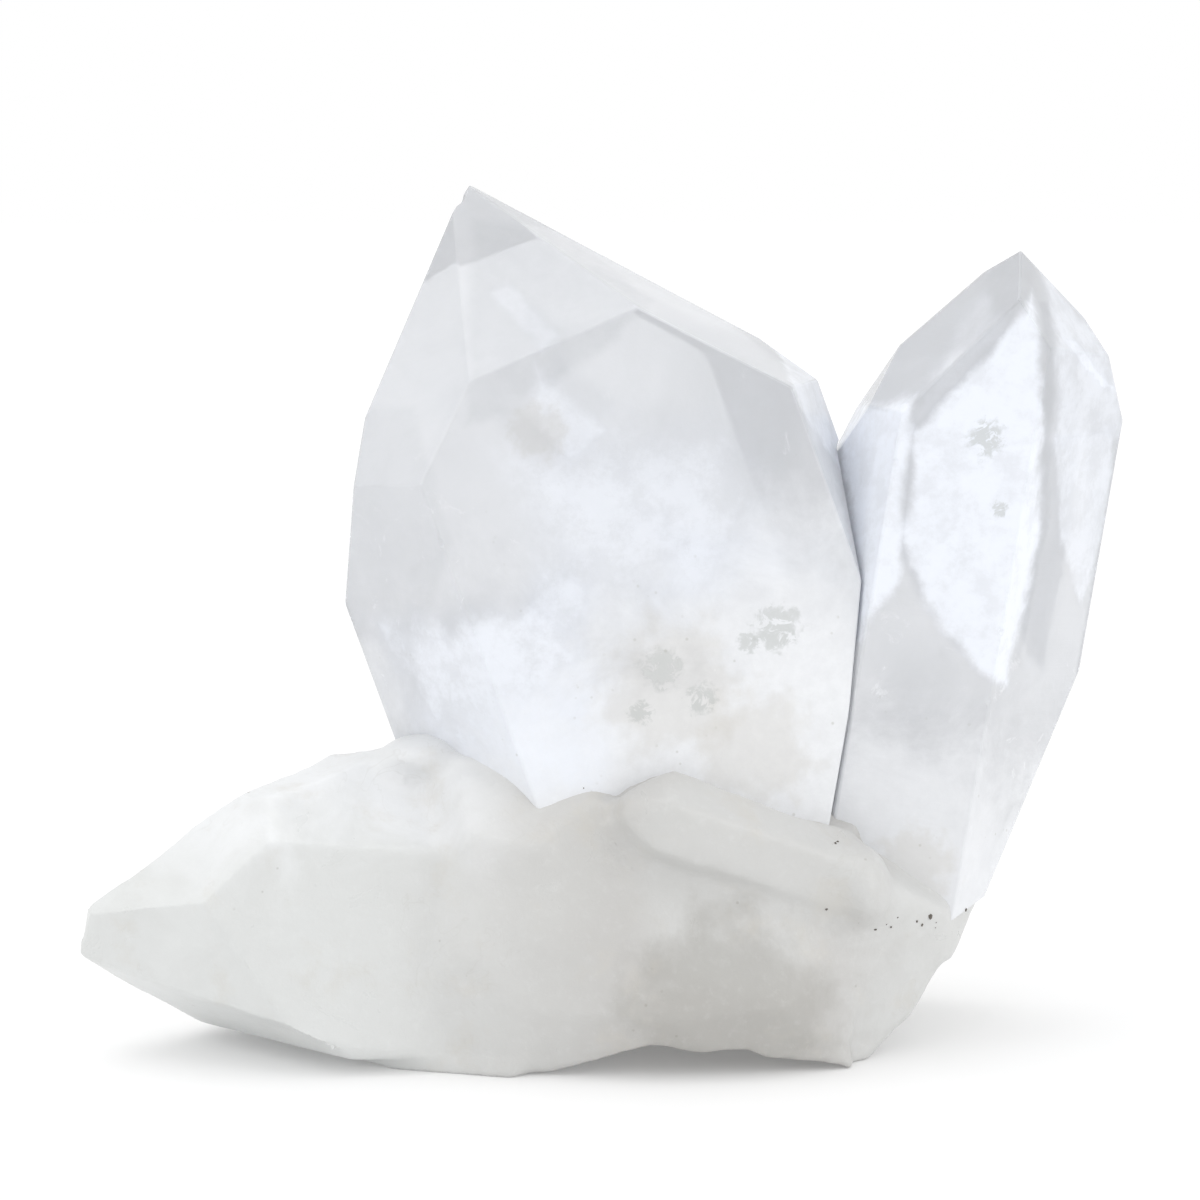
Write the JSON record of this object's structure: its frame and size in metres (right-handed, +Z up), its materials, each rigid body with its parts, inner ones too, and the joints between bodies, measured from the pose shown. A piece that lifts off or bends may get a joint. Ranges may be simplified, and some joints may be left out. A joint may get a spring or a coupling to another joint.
{
  "type": "quartz crystal cluster",
  "caption": "Free-standing natural cluster of clear and milky quartz crystals with pointed ends, grown from one milky root with a flat underside.",
  "frame": {"origin": "on the surface the cluster stands on, under the middle of its outline", "axes": "+X to the right, seen from the side that shows the broad crystal's widest face; +Y to the back; +Z up"},
  "size_m": [0.1042, 0.0426, 0.0842],
  "materials": {
    "clear_quartz": "natural glassy crystal faces, clear at the tips and cloudy towards the root",
    "milky_quartz": "milky quartz with a soft glassy shine and small chips along its edges",
    "root_quartz": "rough milky quartz, satin, with small dark mineral specks"
  },
  "bodies": {
    "root": {"tall_crystal": "clear_quartz", "lying_crystal": "milky_quartz", "broad_crystal": "clear_quartz", "stub_crystal": "milky_quartz", "milky_root": "root_quartz"}
  },
  "joints": []
}
